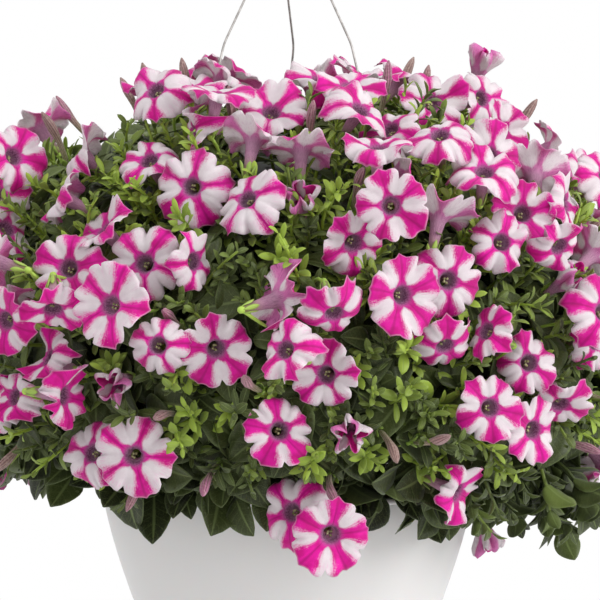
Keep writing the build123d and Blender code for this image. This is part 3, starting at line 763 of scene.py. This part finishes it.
# ---- camera and light ----
VIEW_DISTANCE = 2.3
FRAME_WIDTH = 0.426
FRAME_CENTRE = (0.0085, 0.128)
ELEVATION = math.radians(3.0)
SENSOR = 36.0


def make_camera():
    lens = bpy.data.cameras.new("camera")
    lens.sensor_width = SENSOR
    lens.lens = SENSOR * VIEW_DISTANCE / FRAME_WIDTH
    lens.clip_end = 50
    camera = bpy.data.objects.new("camera", lens)
    target = np.array([FRAME_CENTRE[0], 0.0, RIM_Z + FRAME_CENTRE[1]])
    back = np.array([0.0, -math.cos(ELEVATION), math.sin(ELEVATION)]) * VIEW_DISTANCE
    camera.location = target + back
    camera.rotation_euler = (math.pi / 2 - ELEVATION, 0, 0)
    bpy.context.scene.collection.objects.link(camera)
    bpy.context.scene.camera = camera


def area_light(name, place, target, size, power):
    lamp = bpy.data.lights.new(name, "AREA")
    lamp.shape = "DISK"
    lamp.size = size
    lamp.energy = power
    made = bpy.data.objects.new(name, lamp)
    made.location = place
    rows = basis(np.asarray(place, float) - np.asarray(target, float))
    made.rotation_euler = Matrix(rows.T.tolist()).to_euler()
    bpy.context.scene.collection.objects.link(made)


# Each light's place (its height over the rim), diameter and power.
LIGHTS = {"key": ((1.9, -1.1, 0.8), 1.0, 36.0), "top": ((-0.3, -0.7, 2.0), 1.2, 12.0)}
LIT_HEIGHT = 0.1
FLOOR_DROP = 0.35
FLOOR_RADII = (0.02, 0.4, 0.9)
FLOOR_SIDES = 64


def make_studio():
    """A white surround, two soft lights and a pale round floor well under the basket."""
    scene = bpy.context.scene
    scene.view_settings.view_transform = "Standard"
    world = bpy.data.worlds.new("studio")
    scene.world = world
    world.use_nodes = True
    white = world.node_tree.nodes["Background"]
    white.inputs["Color"].default_value = (1.0, 1.0, 1.0, 1.0)
    white.inputs["Strength"].default_value = 1.0
    for name, ((x, y, rise), size, power) in LIGHTS.items():
        area_light(name, (x, y, RIM_Z + rise), (0.0, 0.0, RIM_Z + LIT_HEIGHT), size, power)
    floor_z = corner("drip_saucer", 0, 2) - FLOOR_DROP
    a = round_angles(FLOOR_SIDES)
    circle = np.stack([np.cos(a), np.sin(a), 0 * a], -1)
    grid = np.stack([circle * r for r in FLOOR_RADII]) + [0, 0, floor_z]
    points = np.concatenate([grid.reshape(-1, 3), [[0, 0, floor_z]]])
    quads = grid_quads(len(FLOOR_RADII), FLOOR_SIDES, True, True)
    fan = [(i, (i + 1) % FLOOR_SIDES, len(points) - 1) for i in range(FLOOR_SIDES)]
    mesh = bpy.data.meshes.new("floor")
    mesh.from_pydata(points.tolist(), [], quads.tolist() + fan)
    ground = bpy.data.objects.new("floor", mesh)
    material, g, shader = nodes_of("floor")
    paper = g.noise(g.coordinates(), 40.0)
    surface(g, shader, g.mix(g.times(paper, 0.1), rgb(238, 238, 238), rgb(220, 220, 220)), 0.9)
    mesh.materials.append(material)
    scene.collection.objects.link(ground)


make_camera()
make_studio()


# ---- planting ----
def plant_at(spot):
    """The plant whose third of the circle holds this spot."""
    azimuth = math.degrees(math.atan2(spot[1], spot[0])) % 360
    return min(PLANTS, key=lambda name: abs((azimuth - PLANTS[name] + 180) % 360 - 180))


def clump(spot):
    """Slow unevenness of the mound, in metres, so that its outline isn't a smooth dome."""
    x, y, z = (spot * 1000).T if spot.ndim > 1 else spot * 1000
    return (4.5 * np.sin(x / 31 + 1.3) * np.sin(z / 37 + 0.4) + 3.5 * np.sin(y / 27 + z / 43)
            + 2.5 * np.sin(x / 13 - y / 17) * np.sin(z / 15)) * MM


HEART = AXIS + [0.0, 0.0, 90 * MM]
STALK_SPREAD = 5 * MM


class Discs:
    """The open flowers as discs that leaves and shoots must not pass through: one at each
    mouth, and one behind it where the margins roll back."""

    def __init__(self, discs):
        self.centres, self.faces, self.sizes = (np.array(part) for part in zip(*discs))

    def free_length(self, foot, direction, length):
        """How far a straight line can run before it meets a flower."""
        speed = self.faces @ direction
        speed = np.where(np.abs(speed) < 1e-6, 1e-6, speed)
        reach = ((self.centres - foot) * self.faces).sum(axis=1) / speed
        meets = foot + reach[:, None] * direction
        near = np.linalg.norm(meets - self.centres, axis=1) < self.sizes
        blocked = reach[near & (reach > 0) & (reach < length)]
        return blocked.min() if len(blocked) else length


def stalk_root(foot, reach):
    """Where a stalk comes out of the leaves: in from its flower's foot towards the heart."""
    return foot + unit(HEART - foot) * reach + rng.normal(0, STALK_SPREAD, 3)


FLOWER_RADII = (21.4, 25.8)
LOOK_SPREAD = 0.24
TIRED_SHARE, TIRED_SIZE = 0.12, 0.9
TIRED_RUFFLE, RUFFLE = (1.9, 2.6), (0.8, 1.5)
UPPER_HEIGHT = 185 * MM
# A flower with a facing of y = -1 looks to the front; over these it is turned away or side-on.
AWAY, SIDE_ON = -0.35, -0.8
AWAY_CONE, FRONT_CONE = (0.25, 0.65), (0.0, 0.42)
UPPER_AWAY_SIZE, LOWER_AWAY_SIZE = 0.95, 0.86
UPPER_BAND, LOWER_BAND = (0.0, 0.6), (0.1, 0.85)
CUP = (-0.26, 0.0)
SEAT_DEPTH, SEAT_CONE = 1.5 * MM, 0.4
CALYX_OVERLAP = 1.0 * MM
FLOWER_STALK, BUD_STALK = 40 * MM, 16 * MM
# How far behind a flower's mouth each of its discs is, and how much wider than the flower.
DISCS = ((1.5 * MM, 0.0), (6.0 * MM, 2 * MM))


def plant_flowers():
    """Open flowers where the CAD frame has them, one piece for each of its nodes."""
    discs = []
    for node in sorted(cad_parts):
        if not node.startswith("flowers_"):
            continue
        batch = Batch()
        for centre, direction in flower_seats(node):
            size = rng.uniform(*FLOWER_RADII) * MM
            look = unit(direction + rng.normal(0, LOOK_SPREAD, 3))
            tired = rng.random() < TIRED_SHARE
            ruffle = rng.uniform(*(TIRED_RUFFLE if tired else RUFFLE))
            cone = rng.uniform(*(AWAY_CONE if look[1] > AWAY else FRONT_CONE))
            upper = centre[2] - RIM_Z > UPPER_HEIGHT
            if look[1] > SIDE_ON:
                size *= UPPER_AWAY_SIZE if upper else LOWER_AWAY_SIZE
            mouth = centre - look * (SEAT_DEPTH + cone * size * SEAT_CONE)
            band = rng.uniform(*(UPPER_BAND if upper else LOWER_BAND))
            corolla(batch, mouth, look, size * (TIRED_SIZE if tired else 1), rng.uniform(0, 2 * math.pi),
                    cone, rng.uniform(*CUP), ruffle, band)
            foot = mouth - look * (TUBE_LENGTH + THROAT_DEPTH - CALYX_OVERLAP)
            calyx(batch, foot, look, stalk_root(foot, FLOWER_STALK))
            discs += [(mouth - look * back, look, size + extra) for back, extra in DISCS]
        piece = batch.build(node.replace("flowers", "open_flowers"), [petal, flower_green, pollen],
                            record_slot="petal_striped")
        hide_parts(node)
    return Discs(discs)


def plant_slim(prefix, new_name, grow, skin, record_slot):
    """Buds or faded flowers where the CAD frame has them."""
    for node in sorted(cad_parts):
        if not node.startswith(prefix):
            continue
        batch = Batch()
        for foot, direction, length in bud_seats(node):
            grow(batch, foot, direction, length)
        piece = batch.build(node.replace(prefix, new_name), [skin, flower_green],
                            record_slot=record_slot)
        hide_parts(node)


BUD_ROWS, BUD_COLUMNS = 14, 20
BUD_SHARES = [0, 0.15, 0.45, 0.72, 0.9, 1]
BUD_RADII = [1.2, 1.9, 2.1, 3.3, 2.4, 0.5]
BUD_BOW = 3 * MM
FADED_ROWS = 16
FADED_SHARES = [0, 0.3, 0.55, 0.8, 0.93, 1]
FADED_RADII = [1.6, 2.4, 4.6, 8.6, 9.6, 7.4]
FADED_THICKNESS = 0.4 * MM


def bud(batch, foot, direction, length):
    """A folded corolla, twisted to a blunt point, with its calyx and stalk."""
    frame3 = basis(direction, rng.uniform(0, 6))
    t = np.linspace(0, 1, BUD_ROWS)
    a = round_angles(BUD_COLUMNS)
    body = np.interp(t, BUD_SHARES, BUD_RADII) * MM
    deep = np.interp(t, [0, 0.5, 1], [0, 0.4, 1])[:, None]
    r = body[:, None] * (1 + 0.14 * np.cos(PETALS * a[None] + 3 * t[:, None]) * deep)
    bow = BUD_BOW * np.sin(math.pi * t * 0.8)
    grid = turned(a, r, (t * length)[:, None] + 0 * a, frame3, foot, bow[:, None])
    place = place_on(grid, np.abs(a - math.pi)[None] / math.pi, t[:, None])
    batch.add(grid.reshape(-1, 3), round_quads(BUD_ROWS, BUD_COLUMNS), place.reshape(-1, 3),
              (rng.random(), rng.random(), 0), PETAL)
    calyx(batch, foot, direction, stalk_root(foot, BUD_STALK))


def faded(batch, foot, direction, length):
    """A corolla that has folded shut and crumpled, hanging a little, with its calyx."""
    frame3 = basis(direction, rng.uniform(0, 6))
    t = np.linspace(0, 1, FADED_ROWS)
    a = round_angles(COLUMNS)
    phase = petal_phase(a)
    body = np.interp(t, FADED_SHARES, FADED_RADII) * MM
    fold = np.interp(t, [0, 0.4, 1], [0, 0.12, 0.42])[:, None]
    twist = rng.uniform(2.0, 5.0) * t[:, None]
    flute = 1 + fold * np.cos(PETALS * a[None] + twist) + fold * 0.5 * np.cos(8 * a[None] - twist)
    r = body[:, None] * flute
    ragged = 2.2 * MM * np.sin(3 * a + twist) * t[:, None] ** 3
    ragged = ragged - 3 * MM * (phase > 0.9) * t[:, None] ** 6
    bow = rng.uniform(2, 6) * MM * t**2
    grid = turned(a, r, (t * length)[:, None] + ragged, frame3, foot, bow[:, None])
    place = place_on(grid, phase[None], (t * 1.9 - 0.95)[:, None])
    points, quads, places = thick(grid, place, FADED_THICKNESS, True)
    batch.add(points, quads, places, (rng.random(), rng.uniform(0.4, 1.0), 1.0), PETAL)
    calyx(batch, foot, direction, stalk_root(foot, BUD_STALK))


GOLDEN_TURN = 137.50776


def scatter(count, low, high, start):
    """Even places over the mound by the golden angle: azimuths and angles in degrees."""
    i = np.arange(count) + 0.5
    bottom, top = math.radians(low), math.radians(high)
    share = np.sin(bottom) + (np.sin(top) - np.sin(bottom)) * i / count
    azimuth = (i * GOLDEN_TURN + start) % 360
    return azimuth + rng.normal(0, 2.2, count), np.degrees(np.arcsin(share)) + rng.normal(0, 1.2, count)


# Heights on the mound are angles in degrees over its middle.
LOWEST = -33.0
LEFT_RISE, LEFT_MIDDLE, LEFT_WIDTH = 11, 190, 50
RIGHT_DROP, RIGHT_MIDDLE, RIGHT_WIDTH = 12, 322, 30
UPPER_SHOOTS, MIDDLE_SHOOTS = 32.0, 4.0
HIGHEST_LEAF, HIGHEST_SHOOT, HIGHEST_CORE = 84.0, 86.0, 88.0
SHOOTS = 1100
SHOOT_START = 17.0
SHORTEST_SHOOT = 14 * MM
SHOOT_SLIM = 0.21
SKIRT_LEAVES = 420
LOW_RIGHT_LEAVES = 64
LONG_LEAF_SHARE = 0.14
CORE_LIFT = -30 * MM
CORE_THICKNESS = 1.0 * MM

# Count, depth and its spread, darkest and lightest shade, how far the leaves stand out, and the
# azimuth they start from. The deeper layers are darker, near black at the deepest: painted shade of
# the mound's dark inside.
LEAF_LAYERS = (
    (900, -22 * MM, 9 * MM, 0.02, 0.22, 0.15, 3.0),
    (1350, -7 * MM, 8 * MM, 0.08, 0.36, 0.35, 47.0),
    (1300, 6 * MM, 8 * MM, 0.18, 0.56, 0.60, 91.0),
)

# Count, least and greatest azimuth, greatest length, least and greatest leaf in millimetres,
# leaves a shoot, and a leaf's least width over its length: fine trailing shoots, then broad ones.
TRAILERS = ((7, 306, 326, 46, 15, 22, 7, 0.34), (13, 326, 354, 50, 24, 34, 6, 0.46))

# The mound's top over the rim in millimetres: its peak, and the height, slope and start of each
# sloping shoulder.
PEAK = 282.0
LEFT_SHOULDER = (240.0, 1.2, -125)
RIGHT_SHOULDER = (264.0, -0.9, 143)


def blend(low, high, share):
    return low + (high - low) * share


def lowest(azimuth):
    """The angle at which the leaves end: higher on the left, lower at the front right."""
    left = np.clip(1 - np.abs(azimuth - LEFT_MIDDLE) / LEFT_WIDTH, 0, 1)
    right = np.clip(1 - np.abs(azimuth - RIGHT_MIDDLE) / RIGHT_WIDTH, 0, 1)
    return LOWEST + LEFT_RISE * left - RIGHT_DROP * right


def too_high(spot):
    """Whether a spot is over the mound's sloping shoulders."""
    x = spot[0] / MM
    height, slope, start = LEFT_SHOULDER if x < 0 else RIGHT_SHOULDER
    x = max(x, start) if x < 0 else x
    return (spot[2] - RIM_Z) / MM > min(PEAK, height + slope * (x - start))


def plant_core(batches):
    """A lumpy inner dome in the leaves' near-black colour: painted shade that closes the view between
    the leaves.
    """
    for name, azimuth in PLANTS.items():
        turns, shares = np.meshgrid(azimuth + np.linspace(-60, 60, 33), np.linspace(0, 1, 40))
        angles = blend(HIGHEST_CORE, lowest(turns % 360) + 3, shares)
        spots, normals = mound(turns, angles, CORE_LIFT)
        spots = spots + normals * clump(spots.reshape(-1, 3)).reshape(turns.shape)[..., None]
        place = place_on(spots, 0.5, 0.0)
        points, quads, places = thick(spots, place, CORE_THICKNESS, False)
        # Tint 0 gives the core the leaves' near-black colour: painted shade.
        batches[name + "_inner"].add(points, quads[:, ::-1], places, (0.0, 0.5, 0.0))


def plant_leaves(flowers):
    """Three layers of leaves: small and light high up, broad and dark low down, and darker in the deeper
    layers, near black inside, as painted shade of the mound's inside.
    """
    batches = {f"{name}_{place}": Batch() for name in PLANTS for place in ("inner", "outer")}
    for count, depth, spread_out, darkest, lightest, stand, start in LEAF_LAYERS:
        azimuth, angle = scatter(count, LOWEST, HIGHEST_LEAF, start)
        lift = depth + rng.normal(0, 1, count) * spread_out * 0.6
        spots, normals = mound(azimuth, angle, lift)
        spots = spots + normals * clump(spots)[:, None]
        for spot, normal, height, turn in zip(spots, normals, angle, azimuth):
            if too_high(spot) or height < lowest(turn) - 4:
                continue
            high = min(1.0, max(0.0, (height + 30) / 75))
            sideways = rng.normal(0, 1, 3)
            sideways -= normal * (sideways @ normal)
            sideways = unit(sideways) + np.array([0, 0, -0.25])
            heading = unit(sideways + normal * (stand + rng.normal(0, 0.25)))
            up = normal + np.array([0, 0, 0.5]) + rng.normal(0, 0.35, 3)
            length = blend(42, 25, high) * rng.uniform(0.75, 1.25) * MM
            # Deeper layers get darker shades, near black at the deepest: painted shade. Higher up the
            # leaves are lighter.
            shade = blend(darkest, lightest, high) + abs(rng.normal(0, 0.12))
            batch = batches[plant_at(spot) + ("_inner" if depth < 0 else "_outer")]
            foot = spot - heading * length * 0.5
            if flowers.free_length(foot, heading, length) < length:
                continue
            width = length * blend(0.62, 0.46, high) * rng.uniform(0.85, 1.15)
            leaf(batch, foot, heading, up, length, width, (shade, rng.random(), 0.0),
                 curl=rng.uniform(0.1, 1.1), blunt=0.88)
    return batches


def plant_shoots(batches, flowers):
    """Side shoots between the open flowers, more of them higher up, in three levels a plant."""
    azimuth, angle = scatter(SHOOTS, LOWEST + 4, HIGHEST_SHOOT, SHOOT_START)
    spots, normals = mound(azimuth, angle, -14 * MM)
    for spot, normal, height, turn in zip(spots, normals, angle, azimuth):
        if height < lowest(turn) + 4:
            continue
        # The share of places without a shoot is greatest low down and at the very top.
        bare = max(0.55 - 0.008 * (height + 56), 0.012 * (height - 40))
        if rng.random() < bare:
            continue
        direction = unit(normal + np.array([0, 0, 0.35]) + rng.normal(0, 0.28, 3))
        size = rng.uniform(13, 21) * MM
        length = flowers.free_length(spot, direction, rng.uniform(34, 62) * MM + size / 2) - size / 2
        if length < SHORTEST_SHOOT or too_high(spot + direction * (length + size / 3)):
            continue
        young = blend(0.40, 0.60, min(1.0, (height + 30) / 60))
        level = "upper" if height > UPPER_SHOOTS else "middle" if height > MIDDLE_SHOOTS else "lower"
        tint = (rng.uniform(young, young + 0.45), rng.random(), 1.0)
        shoot(batches[plant_at(spot) + "_" + level], spot, direction, length, size, tint,
              int(rng.integers(10, 16)), flowers, SHOOT_SLIM)


def plant_skirt(batches, twigs, flowers):
    """Broad leaves that hang over the rim, and a few trailing shoots at the front right."""
    azimuth = np.arange(SKIRT_LEAVES) * GOLDEN_TURN % 360
    angle = lowest(azimuth) + rng.uniform(-12, 5, SKIRT_LEAVES)
    spots, normals = mound(azimuth, angle, rng.uniform(-30, 3, SKIRT_LEAVES) * MM)
    for spot, normal in zip(spots, normals):
        out = normal * [1, 1, 0]
        heading = out * rng.uniform(0.4, 1.4) + np.array([0, 0, -0.7]) + rng.normal(0, 0.35, 3)
        length = (rng.uniform(38, 48) if rng.random() < LONG_LEAF_SHARE else rng.uniform(20, 36)) * MM
        up = out + rng.normal(0, 0.25, 3)
        leaf(batches[plant_at(spot) + "_outer"], spot, heading, up, length,
             length * rng.uniform(0.5, 0.68), (rng.uniform(0.04, 0.42), rng.random(), 0.0),
             curl=rng.uniform(-0.5, 0.5), widest=0.45, blunt=0.8)
    for count, low, high, long, small, large, leaves, slim in TRAILERS:
        spots, normals = mound(rng.uniform(low, high, count), rng.uniform(-42, -26, count), 0.0)
        for spot, normal in zip(spots, normals):
            direction = unit(normal * [0.5, 0.5, 0] + np.array([0.15, 0, -1.0]) + rng.normal(0, 0.15, 3))
            shoot(twigs[plant_at(spot) + "_lower"], spot, direction, rng.uniform(24, long) * MM,
                  rng.uniform(small, large) * MM, (rng.uniform(0.1, 0.7), rng.random(), 1.0), leaves,
                  flowers, slim)
    azimuth = rng.uniform(300, 348, LOW_RIGHT_LEAVES)
    spots, normals = mound(azimuth, rng.uniform(-50, -34, LOW_RIGHT_LEAVES), 0.0)
    for spot, normal in zip(spots, normals):
        heading = normal * [1, 1, 0] + np.array([0, 0, -0.6]) + rng.normal(0, 0.6, 3)
        length = rng.uniform(20, 31) * MM
        up = normal + rng.normal(0, 0.5, 3)
        leaf(batches[plant_at(spot) + "_outer"], spot, heading, up, length,
             length * rng.uniform(0.55, 0.72), (rng.uniform(0.15, 0.6), rng.random(), 0.0),
             curl=rng.uniform(-0.5, 0.7), blunt=0.8)


flowers = plant_flowers()
plant_slim("buds_", "long_buds_", bud, bud_skin, "bud_mauve")
plant_slim("spent_flowers_", "faded_flowers_", faded, petal, "petal_faded")
greenery = plant_leaves(flowers)
plant_core(greenery)
side_shoots = {f"{name}_{level}": Batch() for name in PLANTS for level in ("upper", "middle", "lower")}
plant_shoots(side_shoots, flowers)
plant_skirt(greenery, side_shoots, flowers)
for kind, batches in (("leaves", greenery), ("shoots", side_shoots)):
    for name, batch in batches.items():
        piece = batch.build(f"{kind}_{name}", [foliage_green], record_slot="leaf_green")
        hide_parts("foliage_" + name.split("_")[0])


# ---- CAD nodes that show ----
def repaint(prefix, material):
    for name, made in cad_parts.items():
        if name.startswith(prefix):
            for slot in made.material_slots:
                slot.material = material


repaint("pot_shell", plastic_material("pot", rgb(204, 202, 201), 0.15))
repaint("drip_saucer", plastic_material("saucer", rgb(214, 212, 212), 0.15))
repaint("hanger_wire", metal_material("wire", rgb(184, 180, 177), 0.45))
repaint("hanger_hook", metal_material("hook", rgb(178, 178, 176), 0.28))
repaint("swivel", metal_material("swivel", rgb(178, 178, 176), 0.28))
repaint("yoke_pin", metal_material("pin", rgb(170, 170, 168), 0.25))
repaint("potting_soil", earth_material("soil", rgb(34, 24, 18), rgb(74, 54, 40)))
repaint("root_plug", earth_material("roots", rgb(48, 36, 26), rgb(110, 90, 66)))
repaint("stems", leaf_material("stem", rgb(60, 82, 30), rgb(104, 134, 54), rgb(120, 150, 60)))
